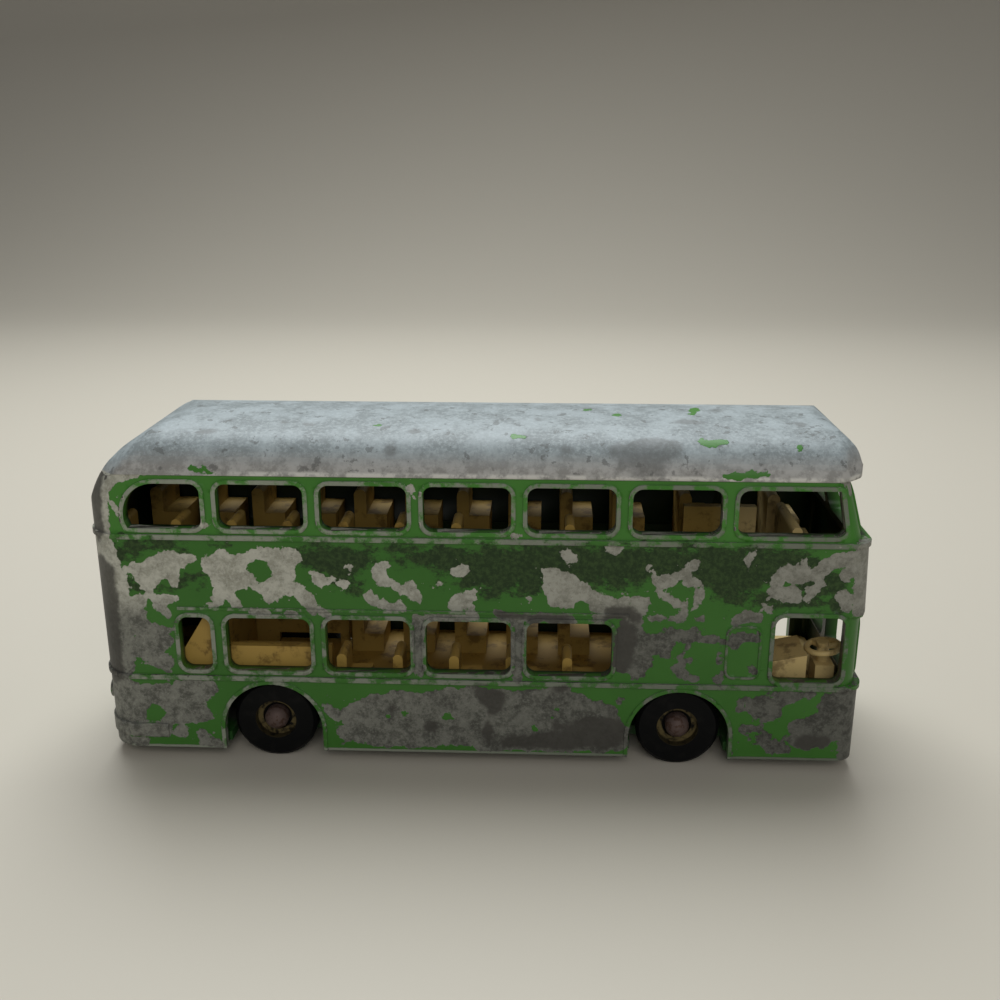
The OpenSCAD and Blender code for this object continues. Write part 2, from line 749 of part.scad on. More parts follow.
// A seat on the left side of a deck
module left_seat(x, z, back_h, cushion_h) {
  seat(x - left_shift, left_aisle_y, seat_y, z, back_h, cushion_h, left_back_t);
}

module upper_deck() {
  first = tail_x + row_start;
  color(cream) {
    difference() {
      upward(upper_floor_z, upper_floor) plan(wall_t + deck_gap);
      block([stair_top, -seat_y, upper_floor_z - over], [stair_foot, -stair_in_y, upper_floor + over]);
    }
    for (k = [0 : upper_rows - 1]) {
      x = first + k * row_pitch;
      right_seat(x, upper_floor, upper_back_h, upper_cushion_h);
      left_seat(x, upper_floor, upper_back_h, upper_cushion_h);
    }
    left_seat(nose_x - stair_row_gap, upper_floor, upper_back_h, upper_cushion_h);
    right_seat(nose_x - front_row_gap, upper_floor, upper_back_h, upper_cushion_h, 0);
    left_seat(nose_x - front_row_gap, upper_floor, upper_back_h, upper_cushion_h);
    block([rail_x, -stair_in_y, upper_floor - weld],
          [stair_foot, plate_t - stair_in_y, upper_floor + rail_h]);
  }
}

// The open frames over the rear wheels, and the cheek behind the bulkhead on the right
module rear_boxes() {
  end_x = rear_x + box_front_l;
  out_y = in_y - deck_gap;
  for (s = [-1, 1]) {
    a = s * (out_y - cheek_t);
    b = s * out_y;
    block([bulkhead_x, min(a, b), box_foot_z], [end_x, max(a, b), box_top_z]);
    block([end_x - plate_t, min(a, b), lug_top], [end_x, max(a, b), box_top_z]);
    c = s * (stair_out_y - cheek_t);
    d = s * stair_out_y;
    block([bulkhead_x, min(c, d), aisle_plate_z], [end_x, max(c, d), aisle_plate_z + aisle_plate_h]);
    for (x = [[bulkhead_x, bulkhead_x + aisle_foot_l], [end_x - plate_t, end_x]])
      block([x[0], min(c, d), lower_floor - weld], [x[1], max(c, d), aisle_plate_z + weld]);
  }
  across(-out_y, cheek_t - out_y)
    polygon([[bulkhead_x - cheek_l, lug_top], [bulkhead_x + weld, lug_top], [bulkhead_x + weld, cheek_z],
             [bulkhead_x, cheek_z], [bulkhead_x - cheek_l, cheek_foot_z]]);
}

// The steps up to the upper deck and the panel beside them
module stairs() {
  for (k = [1 : steps]) {
    block([stair_foot - k * step_l, -stair_out_y, lower_floor - weld],
          [stair_foot - (k - 1) * step_l, -stair_in_y, lower_floor + k * step_rise]);
  }
  block([stair_top, -stair_in_y - weld, lower_floor - weld],
        [stair_foot, plate_t - stair_in_y, upper_floor_z]);
}

// The steering wheel on its column
module steering() {
  translate([nose_x - steer_gap, -steer_y, lower_floor + steer_h]) rotate([0, -steer_lean, 0]) {
    rotate_extrude() translate([steer_r, 0]) circle(rim_r);
    for (k = [1 : spokes])
      rotate([0, 0, k * 360 / spokes]) rotate([0, 90, 0]) cylinder(h = steer_r, r = rim_r);
    cylinder(h = rim_r * 2, r = rim_r * 2);
  }
  translate([nose_x - steer_gap, -steer_y, lower_floor + pedestal_h - weld])
    cylinder(h = steer_h - pedestal_h + weld, r = rim_r * 2);
}

// The driver's seat, the partition behind it and the steering pedestal
module cab() {
  rear = nose_x - seat_rear_gap;
  block([rear - partition_t, -seat_y, lower_floor - weld], [rear + weld, -stair_in_y, lower_floor + seat_h]);
  across(-seat_y, seat_w - seat_y)
    polygon([[rear, lower_floor - weld], [rear + seat_l, lower_floor - weld],
             [rear + seat_l, lower_floor + seat_h + seat_rise], [rear, lower_floor + seat_h]]);
  block([nose_x - steer_gap - pedestal_l / 2, -steer_y - pedestal_w / 2, lower_floor - weld],
        [nose_x - steer_gap + pedestal_l / 2, -steer_y + pedestal_w / 2, lower_floor + pedestal_h]);
  steering();
}

module lower_deck() {
  color(cream) {
    difference() {
      upward(lug_top, lower_floor) plan(wall_t + deck_gap);
      for (x = [rear_x, front_x]) wheel_openings(x, deck_wheel_gap, lug_top - over, lower_floor + over);
    }
    for (k = [1 : lower_rows]) {
      x = nose_x - lower_row_gap - (k - 1) * lower_pitch;
      right_seat(x, lower_floor, lower_back_h, lower_cushion_h);
      left_seat(x, lower_floor, lower_back_h, lower_cushion_h);
    }
    block([bulkhead_x, -in_y + deck_gap, lower_floor - weld],
          [bulkhead_x + plate_t, in_y - deck_gap, upper_floor_z]);
    rear_boxes();
    stairs();
    cab();
  }
}

// A headed axle at x
module axle(x) {
  reach = wheel_face_y - well_depth + head_gap;
  dome_l = head_l / 2;
  dome = (pow(head_r, 2) + pow(dome_l, 2)) / (2 * dome_l);
  color(steel) translate([x, 0, axle_z]) {
    translate([0, reach, 0]) rotate([90, 0, 0]) cylinder(h = 2 * reach, r = axle_r);
    for (s = [-1, 1]) {
      rotate([-s * 90, 0, 0]) translate([0, 0, reach]) {
        cylinder(h = head_l - dome_l, r = head_r);
        intersection() {
          translate([0, 0, head_l - dome]) sphere(dome);
          cylinder(h = head_l, r = head_r);
        }
      }
    }
  }
}

module front_axle() {
  axle(front_x);
}

module rear_axle() {
  axle(rear_x);
}

// A wheel at x on the side s
module wheel(x, s) {
  color(tyre) translate([x, s * (wheel_face_y - wheel_w), axle_z]) rotate([-s * 90, 0, 0])
    rotate_extrude()
      polygon([[bore_r, 0], [wheel_r - wheel_edge, 0], [wheel_r, wheel_edge], [wheel_r, wheel_w - wheel_edge],
               [wheel_r - wheel_edge, wheel_w], [ring_r, wheel_w], [ring_r, wheel_w - ring_depth],
               [well_r, wheel_w - ring_depth], [well_r, wheel_w - well_depth],
               [bore_r, wheel_w - well_depth]]);
}

module wheel_front_right() {
  wheel(front_x, -1);
}

module wheel_front_left() {
  wheel(front_x, 1);
}

module wheel_rear_right() {
  wheel(rear_x, -1);
}

module wheel_rear_left() {
  wheel(rear_x, 1);
}

body_shell();
base_plate();
lower_deck();
upper_deck();
front_axle();
rear_axle();
wheel_front_right();
wheel_front_left();
wheel_rear_right();
wheel_rear_left();
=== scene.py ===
"""Dress the toy bus: a play-worn cast body, grimy mouldings and dull wheels, on a plain pale floor."""
import json
import math

import bmesh
import bpy
import numpy as np
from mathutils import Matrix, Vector


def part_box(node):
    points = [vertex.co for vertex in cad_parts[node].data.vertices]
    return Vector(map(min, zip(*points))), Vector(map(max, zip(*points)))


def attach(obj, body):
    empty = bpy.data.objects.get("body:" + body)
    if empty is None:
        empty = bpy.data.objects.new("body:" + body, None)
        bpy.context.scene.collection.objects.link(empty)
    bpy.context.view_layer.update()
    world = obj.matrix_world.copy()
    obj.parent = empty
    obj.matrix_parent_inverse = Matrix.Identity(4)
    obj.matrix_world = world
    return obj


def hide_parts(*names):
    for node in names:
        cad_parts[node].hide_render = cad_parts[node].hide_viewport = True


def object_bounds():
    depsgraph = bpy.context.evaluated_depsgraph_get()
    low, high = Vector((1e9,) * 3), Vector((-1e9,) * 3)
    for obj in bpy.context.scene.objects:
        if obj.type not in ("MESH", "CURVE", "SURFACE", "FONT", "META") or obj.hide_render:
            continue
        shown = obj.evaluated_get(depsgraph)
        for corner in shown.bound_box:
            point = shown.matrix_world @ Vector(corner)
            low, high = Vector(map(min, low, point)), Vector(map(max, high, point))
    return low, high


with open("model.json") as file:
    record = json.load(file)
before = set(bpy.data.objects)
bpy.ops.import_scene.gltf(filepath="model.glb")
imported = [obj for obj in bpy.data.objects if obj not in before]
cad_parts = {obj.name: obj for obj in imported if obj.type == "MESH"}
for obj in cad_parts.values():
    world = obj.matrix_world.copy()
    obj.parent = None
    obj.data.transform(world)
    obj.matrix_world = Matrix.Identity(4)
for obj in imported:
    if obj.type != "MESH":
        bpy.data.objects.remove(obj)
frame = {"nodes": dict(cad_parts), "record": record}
cad_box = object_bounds()
MM = 0.001

# The photograph's camera: place in millimetres, turn in degrees, lens on a 36 mm sensor
CAMERA_AT = (6.54, -109.63, 60.13)
CAMERA_TURN = (72.45, 0.0, 2.375)
CAMERA_LENS = 39.6
CAMERA_SENSOR = 36
CAMERA_NEAR = 5
CAMERA_FAR = 10000

# The body's outer form: half width, half length, corner radius and the gutter's height, in millimetres
SIDE_Y = 10.0
END_X = 38.3
CORNER_R = 3.4
GUTTER_Z = 30.68
# Depth of its skin, where its ends start, and the least turn of an end's normal outwards
SKIN = 0.5
ENDS_X = 33
ENDS_TURN = 0.3
# Width of the cells that carry the wear, how close points are joined, and the sharpest smooth angle
GRID = 0.6
JOIN = 0.002
SMOOTH_ANGLE = math.radians(28)
# Where the right side's pattern starts on the ends, and how it is drawn out there
WRAP_X = 38
WRAP_SHARE = 0.8
# Wear stored on bare roof, and on what isn't outside
ROOF_WEAR = 0.8
NO_WEAR = -1.0

# The round form of the roof's corners on the diagonal: radius and lower end of the curve, in millimetres
REAR_ROUND = 7.5, 27.0
FRONT_ROUND = 5.5, 30.2
FRONT_SET_BACK = 1.0
ROUND_END = math.radians(62)

# The backdrop's sheet, in millimetres
FLOOR_FRONT = 600
FLOOR_BACK = 300
FLOOR_BEND = 250
FLOOR_TOP = 900
FLOOR_SIDE = 1500
FLOOR_COLOUR = (0.56, 0.52, 0.44, 1)
FLOOR_ROUGHNESS = 0.6

# Soft square lights: name, place and size in millimetres, power and colour
LIGHTS = [
    ("key", (-30, 150, 320), 260, 1.35, (0.95, 0.985, 1.0)),
    ("fill", (60, -340, 240), 260, 0.42, (1.0, 0.98, 0.95)),
]
LIGHTS_AIM = (0, 0, 15)
WORLD_COLOUR = (0.8, 0.82, 0.85, 1)
WORLD_STRENGTH = 0.22

# Colours of the body's paint and metal. A pair is mixed by a texture, or from low to high on the body.
GREEN = (0.031, 0.127, 0.014), (0.052, 0.185, 0.026)
SOILED = (0.007, 0.018, 0.004), (0.032, 0.062, 0.016)
INSIDE = (0.008, 0.022, 0.006)
LOW_ZINC = (0.068, 0.069, 0.058), (0.160, 0.162, 0.138)
SIDE_ZINC = (0.26, 0.258, 0.212), (0.40, 0.398, 0.34)
GRAIN_ZINC = (0.24, 0.242, 0.21), (0.46, 0.456, 0.40)
STAIN_ZINC = (0.045, 0.044, 0.038), (0.12, 0.116, 0.092)
RUBBED_ZINC = (0.24, 0.245, 0.21)
DARK_ZINC = (0.052, 0.049, 0.042), (0.11, 0.112, 0.105)
# The roof's zinc and grain carry a bluish painted reflection of the sky on upward faces; ROOF_EDGE is the
# warmer grey of its sideways faces
ROOF_ZINC_AND_SKY_REFLECTION = (0.205, 0.235, 0.24), (0.32, 0.365, 0.378)
ROOF_GRAIN_AND_SKY_REFLECTION = (0.43, 0.49, 0.505)
ROOF_STAIN = (0.15, 0.165, 0.165)
ROOF_EDGE = (0.29, 0.285, 0.27), (0.45, 0.445, 0.43)
ROOF_SPOT = (0.085, 0.088, 0.082)
# A near-white band along the drip rail: rubbed metal with a painted highlight
ROOF_DRIP_RUB_AND_HIGHLIGHT = (0.66, 0.65, 0.61)

# Where the body's looks change, in millimetres, and how much brighter or duller they get
HEM_Z = 1.5, 1.75
UPPER_ZINC_Z = 15, 19
UPPER_PAINT_Z = 24, 25
UPPER_PAINT_SHARES = (1, 1, 1), (1.3, 1.3, 1.3)
ZINC_X = -30, 36
ZINC_SHARES = (1.28, 1.28, 1.28), (0.72, 0.72, 0.72)
# Where the rubbed metal and painted highlight along the drip rail begin
DRIP_X = -27, -20

# The other pieces' colours, and where they change, in millimetres
# The decks pale towards the front: painted light from the windscreen
DECK_FRONT_LIGHT_X = 23.5, 27.5
DECK_COLOURS_AND_FRONT_LIGHT = (0.41, 0.265, 0.062), (0.56, 0.42, 0.18)
DECK_DIRT_SHARES = (0.38, 0.34, 0.32)
TYRE = (0.0025, 0.0028, 0.003), (0.007, 0.0068, 0.0065)
TYRE_RING = (0.13, 0.10, 0.042)
TYRE_RING_IN = 1.45, 1.6
TYRE_RING_OUT = 2.0, 2.15
BASE = (0.018, 0.075, 0.014), (0.09, 0.085, 0.08)
STEEL = (0.11, 0.075, 0.065), (0.06, 0.03, 0.018)

# Wear on the right side. Each stroke is a chain of round dabs: x, z and radius in millimetres.
BARE_UPPER = [
    [(-38.2, 30.5, 3.0), (-38.2, 25, 2.5)],
    [(-36.5, 30.5, 1.9), (-34.6, 31.2, 1.3), (-32, 31.3, .8), (-29.5, 31.2, .3)],
    [(37.6, 30.7, 1.5), (36, 30.9, .9), (34.5, 30.9, .4)],
    [(-38, 24.2, 2.2), (-38, 22, 2.9), (-38, 20, 3.4), (-38, 17, 3.8)],
    [(-33.5, 20.9, .85), (-32.3, 20.8, 1), (-31, 21.5, 1.25), (-30, 22, 1.1), (-29, 21.9, .65),
     (-28, 22.2, .6)],
    [(-33.2, 20.2, .8), (-32.5, 19.3, .55), (-32.2, 18.5, .35)],
    [(-31.9, 19.9, .8)],
    [(-29.9, 20.8, .9), (-29.7, 19.8, .6)],
    [(-33.8, 17.6, .8), (-31, 17.75, .6), (-29.9, 17.9, .4)],
    [(-31.2, 17, .8), (-30.8, 16.4, .5)],
    [(-34.3, 16.5, .9), (-33.5, 16.3, .7)],
    [(-25.7, 21.6, 1.2), (-24.6, 21.6, 1.4), (-23.4, 21, 1.3)],
    [(-25.3, 22.4, .65), (-24.6, 22.5, .6)],
    [(-24.8, 20, 1.3), (-23.8, 20, 1.1), (-22.8, 20.2, .9)],
    [(-25.2, 18.6, .95), (-25.7, 17.6, .5), (-26.7, 17, .25)],
    [(-24.4, 18.4, .8), (-23.8, 17.5, .6)],
    [(-22.9, 22.1, .6), (-21.5, 22.8, .6), (-19.8, 22.9, .55), (-17.5, 23, .5)],
    [(-19.2, 22, 1.3), (-18.6, 20.8, 1), (-19, 19.6, 1.1), (-20.3, 18.9, 1.05), (-20.3, 18.2, .7)],
    [(-17.6, 22.3, .7)],
    [(-22, 19.6, .5), (-21.2, 19.2, .6)],
    [(-18.3, 19.4, .8), (-17, 18.5, .7), (-16.4, 17.7, .7), (-16.1, 16.9, .5)],
    [(-16.4, 21.3, .15), (-15.9, 20.9, .25), (-15.4, 20.3, .7), (-14.9, 20, .7), (-14.5, 20.2, .45),
     (-13.9, 20.3, .25), (-13.2, 20, .55), (-12.8, 19.7, .5)],
    [(-15.2, 16.7, .5), (-14.6, 16.5, .4)],
    [(-21.9, 16.6, .45), (-20.9, 16.6, .45)],
    [(-19, 16.5, .45), (-18, 16.6, .4)],
    [(-12.5, 21.5, .33), (-12, 21.4, .3)],
    [(-9.6, 20.9, .75), (-9.1, 21.5, .7), (-8.8, 22, .25)],
    [(-9.2, 20.2, .6), (-8.2, 19.9, .5), (-7.4, 19.3, .55), (-6.7, 19.4, .7), (-6.3, 19.9, .4)],
    [(-6.2, 19.1, .7), (-5.7, 18.6, .5), (-5.6, 18, .35), (-5.9, 17.7, .2)],
    [(-10.3, 19, .3), (-10.5, 18.4, .55), (-9.8, 18, .55), (-9, 17.6, .55), (-8, 17.4, .5), (-7.2, 17.4, .4)],
    [(-2.3, 21.1, .2), (-1.9, 21.2, .55), (-1.3, 21.3, .65), (-1, 21.6, .4)],
    [(-2.2, 17.6, .55), (-1.6, 18.2, .75), (-.7, 18.5, .7), (-.2, 19.2, .4)],
    [(-.5, 17.2, .4)],
    [(-3.3, 23.1, .2)],
    [(-3.5, 19.85, .3)],
    [(5.2, 18.6, .25), (5.3, 18.2, .25)],
    [(8.1, 23.1, .35), (8.9, 23.3, .45), (9.3, 22.7, .55), (9.7, 22.8, .3)],
    [(6.7, 21.5, .35), (7.3, 21, .7), (7.9, 20.9, .85), (7.4, 19.8, .9), (7.9, 18.6, .95),
     (9, 18.6, 1.05)],
    [(8.7, 20.5, 1), (9.8, 19.6, 1.05), (11, 19, .85), (12.4, 18.5, .7), (13.2, 18.3, .65)],
    [(11.8, 17.7, .6), (12.8, 17.7, .6)],
    [(12.8, 23.8, .35), (13.6, 23.7, .4), (14.1, 23.9, .25)],
    [(-4.6, 16.4, .35), (-3.5, 16.4, .4), (-.2, 16.5, .4)],
    [(2.2, 16.9, .45), (3.5, 16.4, .5), (6, 16.5, .5), (9, 16.6, .45)],
    [(9.3, 16.3, .3), (9.8, 16.2, .25)],
    [(14.5, 19.2, .3), (14.7, 18.4, .55), (15.6, 18.3, .6), (16.6, 18.4, .5), (16.4, 17.6, .5),
     (16.2, 17, .4)],
    [(16.8, 22, .35), (17.1, 21.5, .4), (17.7, 20.7, .45), (18, 20.1, .45), (17.9, 19.3, .4), (19, 18.6, .45),
     (20, 18.2, .4)],
    [(18.3, 21.2, .3), (19.3, 21, .5), (20, 21.3, .55), (20.8, 22, .4), (21.4, 22.7, .35)],
    [(20.4, 20.7, .6), (21.2, 20.5, .5), (21.9, 20.1, .4), (21.7, 19.2, .5), (21.6, 18.2, .4)],
    [(18.9, 20.5, .45)],
    [(20.3, 17.8, .5), (20.4, 17.2, .35)],
    [(17.6, 16.6, .4), (18.2, 16.8, .3)],
    [(19.3, 16.6, .4), (20.2, 16.8, .45)],
    [(21.7, 16.6, .3), (22.4, 16.8, .35)],
    [(25.4, 16.4, .5), (26.4, 17, .7), (27.4, 16.8, .6)],
    [(27.8, 18.4, .3), (28.3, 18, .4), (28.8, 17.5, .3)],
    [(26.7, 23.5, .35), (26.3, 22.9, .4), (26.2, 22.2, .3)],
    [(29.6, 21.8, .7), (30.6, 21.4, .9), (31.5, 21.8, .6), (31.6, 22.9, .35)],
    [(29.2, 20.8, .7), (28.9, 19.9, .7), (29.8, 19.4, .8), (30.8, 19.4, .9)],
    [(31.8, 21, .7), (32.8, 21.5, .7), (33.6, 22.4, .7), (34.8, 23, .8), (36, 23.1, .9)],
    [(32.2, 18.9, .4), (32.3, 19.6, .6), (32.9, 20.3, .6), (33.5, 20.6, .4)],
    [(35.6, 21.4, .6), (36.3, 22, .8)],
    [(35.2, 19.3, .6), (35.9, 19, .8), (36, 18.2, .6)],
    [(37.4, 23.8, 1), (37.4, 18, 1)],
    [(-6, 29.6, .4), (-5.8, 28.9, .35)],
    [(-26.3, 25.6, .4), (-26.5, 26.2, .3)],
    [(-35.2, 27.8, .35), (-34.7, 26.9, .3)],
    [(3.7, 25, .25), (4.2, 25, .35)],
]
BARE_LOWER = [
    [(-37.5, 16, 2.8), (-37, 10.5, 2.3)],
    [(-34, 14.8, 1.2), (-32.8, 14.3, 1.1), (-31.6, 14.2, 1), (-31.4, 13.2, .9)],
    [(-34.5, 12.5, 1.3), (-32.5, 12.6, 1.2), (-31.6, 12.7, .7)],
    [(-33.6, 11.6, .7), (-32.6, 11, .8), (-31.4, 11, .9), (-31.2, 10.3, .5)],
    [(-5.8, 16.1, .6), (-5.7, 13, .55), (-5.7, 10.3, .5)],
    [(4.1, 16, .8), (4.1, 13, .65), (4.1, 10, .6)],
    [(12, 16.5, .5), (13.2, 17.2, .7), (15, 17.2, .7)],
    [(15.4, 16.3, 1.1), (15, 14, 1.4), (14.6, 11.6, 1)],
    [(16.6, 14.3, .8), (17.6, 13.8, 1.2), (18.6, 14.2, 1), (19, 13, .6)],
    [(16.4, 12.8, .9), (16.2, 11, .8), (15.8, 10.4, .6)],
    [(17.3, 11.7, .4)],
    [(19, 14.9, .7), (20.4, 14.9, .6), (21.3, 14.7, .6)],
    [(20.9, 13.6, .35)],
    [(21.8, 15.4, .3), (22, 14.6, .4), (23, 14.5, .45), (24.2, 14.4, .4)],
    [(25.4, 13.8, .5), (25.4, 14.6, .6), (26.4, 14.9, .5), (27.6, 14.6, .35)],
    [(20.2, 12.7, .25), (20.4, 12.1, .45), (21.3, 12.2, .3)],
    [(19.4, 11.5, .35), (20.3, 11.3, .55), (20.6, 10.6, .5), (21.3, 10.2, .45), (22, 10.1, .2)],
    [(24.3, 10.8, .3), (24, 10.3, .5), (24.6, 10, .3)],
    [(24.2, 13, .3), (24.2, 12, .35)],
    [(27.3, 11.4, .4), (27.5, 11, .3)],
]
BARE_SKIRT = [
    [(-36.5, 7, 1.9), (-36.5, 4.8, 1.5)],
    [(-35, 7.3, 1.4), (-32, 7.2, 1.6), (-29, 7.4, 1.6), (-27.4, 8, 1.1)],
    [(-34.5, 5.3, 1.2), (-31, 5.2, 1.4), (-28.8, 5.3, 1.3), (-27.5, 5, .6)],
    [(-38, 3.5, 1), (-35, 3.3, .8), (-32, 3.2, .75)],
    [(-37.6, 1.9, .8), (-34.5, 1.8, .5)],
    [(-30.5, 3.3, .7), (-30.4, 3, .5)],
    [(-28.4, 3.2, .5), (-28.2, 2, .6), (-26.4, 1.7, .5)],
    [(-15.3, 6.6, .3), (-15, 5.8, .35), (-14.3, 5.3, .7), (-13.6, 5, .8), (-13.8, 4, .6), (-13.5, 2.5, .7)],
    [(-12.2, 5.2, 1.6), (-10.5, 5.6, 2.1), (-8, 6, 2.2), (-5.5, 5.9, 2.1), (-3, 6.2, 2.4), (0, 6.5, 2.4),
     (3, 6.3, 2.2), (6, 6.6, 2.1), (8.5, 6.7, 2.2), (11, 5.8, 2), (12.9, 5.6, 1.7)],
    [(-12.5, 3.3, 1.1), (-9, 3, 1.2), (-5, 3.2, 1.4), (0, 3.2, 1.6), (5, 3.4, 1.7), (10, 3.6, 1.9),
     (14, 3.5, 1.7)],
    [(7.6, 8.6, .6), (9, 8.7, .6)],
    [(14.5, 7.6, .4)],
    [(26, 6.6, .25), (26.5, 7, .45), (26.6, 7.9, .5)],
    [(27.6, 7.1, .75), (28.8, 7.6, .9), (30, 7.5, .8)],
    [(28.6, 5.8, .4), (28.2, 6.4, .7), (29.3, 6.3, .7), (30.2, 6.6, .5)],
    [(29.8, 8.6, .5), (31.5, 8.6, .5), (33.6, 8.7, .35)],
    [(31.2, 8.1, .5), (32, 8.3, .4)],
    [(32.2, 4.9, .95), (34, 5.1, 1.3), (36, 5.5, 1.9), (37.5, 6, 2)],
    [(34.8, 8.3, .6), (35.3, 7.4, 1.2), (36.5, 8.2, 1.3)],
    [(28.9, 3.7, .4), (29.4, 3, .8), (30.5, 2.6, .7), (31.6, 2.5, .5)],
    [(31.3, 3.6, .5), (33, 3.4, .8), (35, 3.4, .7)],
    [(26.8, 4.7, .4), (28, 4.8, .4), (29.4, 4.2, .25)],
    [(26.4, 3.3, .25)],
    [(27.6, 3.6, .2)],
    [(37.6, 8, 1.2), (37.6, 2, 1.2)],
]
# Paint that is left inside the bare patches
KEPT = [
    [(-21.5, 21.3, .75), (-21.2, 20.6, .75)],
    [(-32.5, 17.3, .35), (-32.1, 16.4, .45), (-31.4, 15.9, .3)],
    [(-34.4, 10.1, .35), (-33.3, 11.1, .25)],
    [(-33.6, 9.7, .45), (-32.2, 9.8, .3)],
    [(-34.3, 13.9, .2)],
    [(-33, 5.2, .95)],
    [(-34.3, 8.5, .15), (-33.5, 8.9, .4), (-31.8, 8.9, .35), (-31.2, 8.7, .15)],
    [(-14, 4.4, .35)],
    [(-14.2, 2.6, .4)],
    [(-9.2, 5.4, .35)],
    [(-7.4, 5.6, .35)],
    [(-3.3, 5.4, .3), (-2.9, 5.4, .5)],
    [(5.9, 4.2, .35)],
    [(7.4, 5.4, .3)],
    [(8.2, 6.4, .25)],
    [(-13.5, 1.8, .5), (-11.5, 1.9, .3)],
    [(-3.5, 1.8, .35), (-.5, 1.8, .3)],
    [(14.9, 6.3, .55), (15.4, 5.8, .4)],
    [(32, 2, .35), (34, 2.2, .4), (36, 2.3, .45)],
    [(30.3, 20.4, .2)],
    [(31.5, 20.2, .3), (32.2, 20.5, .3)],
]
# Smooth dark metal inside the bare patches, and painted shade down the rounded rear corner
DARK_METAL_AND_SHADE = [
    [(13.6, 16.5, 1), (14.6, 15, 1.3), (14.6, 12.5, 1.2), (14.2, 11, .7)],
    [(13.2, 17.2, .6), (15, 17.2, .7), (15.8, 16.6, .6)],
    [(.6, 8.4, .9), (1.6, 7.6, 1.2), (2.2, 7, .8), (1.6, 6.2, .5)],
    [(1.2, 4.6, .45), (1.2, 3.6, .6), (1.4, 2.6, .4)],
    [(-4.6, 4.3, .75)],
    [(8.2, 4.7, .6)],
    [(3, 2.7, .7), (6, 2.8, .8), (9, 3, 1.2), (11, 4, 1.7), (13.3, 4, 1.9)],
    [(8.2, 8.7, .5), (9, 8.9, .4)],
    [(-8.7, 6.3, .4)],
    [(33, 3.4, .8), (35, 3.4, .7)],
    [(2.2, 16.9, .45), (6, 16.5, .5), (9, 16.6, .45)],
    # These two strokes are painted shade where the rear corner rounds away from the light
    [(-37.8, 20, 2.2), (-37.8, 10, 2)],
    [(-38.2, 30, 2), (-38.2, 25, 1.8)],
]
# Dark residue on the paint between the mouldings
RESIDUE = [
    [(-35, 22.8, 1.2), (-32, 23.6, .8), (-28.5, 23.6, .6)],
    [(-35, 20, .8), (-33.3, 19, .8), (-31.5, 18.6, .5)],
    [(-29.5, 19.5, .8), (-27.8, 20.5, .7), (-26.5, 20.2, .5)],
    [(-25.6, 23.6, .5), (-24, 23.6, .4)],
    [(-16, 22.5, 1.6), (-13, 21.5, 2.2), (-10, 23.4, 1)],
    [(-12, 19.5, 1)],
    [(-8, 23, 1), (-4, 23, 1.2), (0, 21.5, 2.6), (5, 21.8, 2.6), (10, 22, 2.4), (15, 22.3, 2.2),
     (20, 22.5, 2), (25, 21.5, 2.8), (30, 22.5, 2), (34.5, 20.5, 1.5)],
    [(1, 19.5, 1.5), (4, 20, 1), (5.5, 20, 1)],
    [(-3.5, 20, 1)],
    [(24, 19, 1.2), (28, 18.8, 1), (35, 18.5, 1)],
    [(14, 20.8, 1.4)],
]
# Paint left on the roof, and its dark spots: x, y and radius
ROOF_KEPT = [
    [(21.4, -7.7, .3), (22.3, -8.2, .6), (23.6, -7.8, .4)],
    [(3.8, -7.3, .45), (4.4, -7.5, .3)],
    [(-9.8, -5.3, .4)],
    [(11, .2, .5)],
    [(13.8, -1.7, .5)],
    [(22, 1.5, .5), (21.2, -1.2, .3)],
    [(30.4, -8.5, .3)],
]
ROOF_DARK = [
    [(13.6, -9, .8), (15.4, -8.9, 1.2), (17.2, -8.7, 1.4), (18.8, -8.5, .8)],
    [(19.6, -3.6, .4), (20.6, -3.5, .7), (22, -4, .3)],
    [(-27, -7.2, .4), (-25.8, -7, .5)],
    [(-6, -6.5, .6)],
    [(-8, -8.9, .6)],
    [(8.6, -8.9, .5)],
    [(31.4, -4.1, .6)],
    [(-23, -2, .4)],
    [(-16.6, -5.2, .5)],
    [(-19.2, -4.6, .4)],
    [(-13, -6.6, .4)],
    [(6, -3.4, .4)],
    [(28.4, -5.2, .4)],
    [(24, .5, .7)],
]
# Paint left along the gutter on the right side: x, z and radius
GUTTER_KEPT = [
    [(23.6, 31.2, .3), (25.5, 31.3, .35), (27.5, 31.4, .25)],
    [(-27, 31.4, .35), (-25.6, 31.2, .3), (-25, 30.9, .25)],
]


def coverage(u, v, strokes):
    """How far points u, v lie inside the nearest stroke, in millimetres; negative outside."""
    best = np.full(len(u), -9.0)
    for stroke in strokes:
        for (u0, v0, r0), (u1, v1, r1) in zip(stroke, stroke[1:] or stroke):
            du, dv = u1 - u0, v1 - v0
            along = ((u - u0) * du + (v - v0) * dv) / max(du * du + dv * dv, 1e-9)
            along = np.clip(along, 0, 1)
            off = np.hypot(u - u0 - along * du, v - v0 - along * dv)
            best = np.maximum(best, r0 + along * (r1 - r0) - off)
    return best


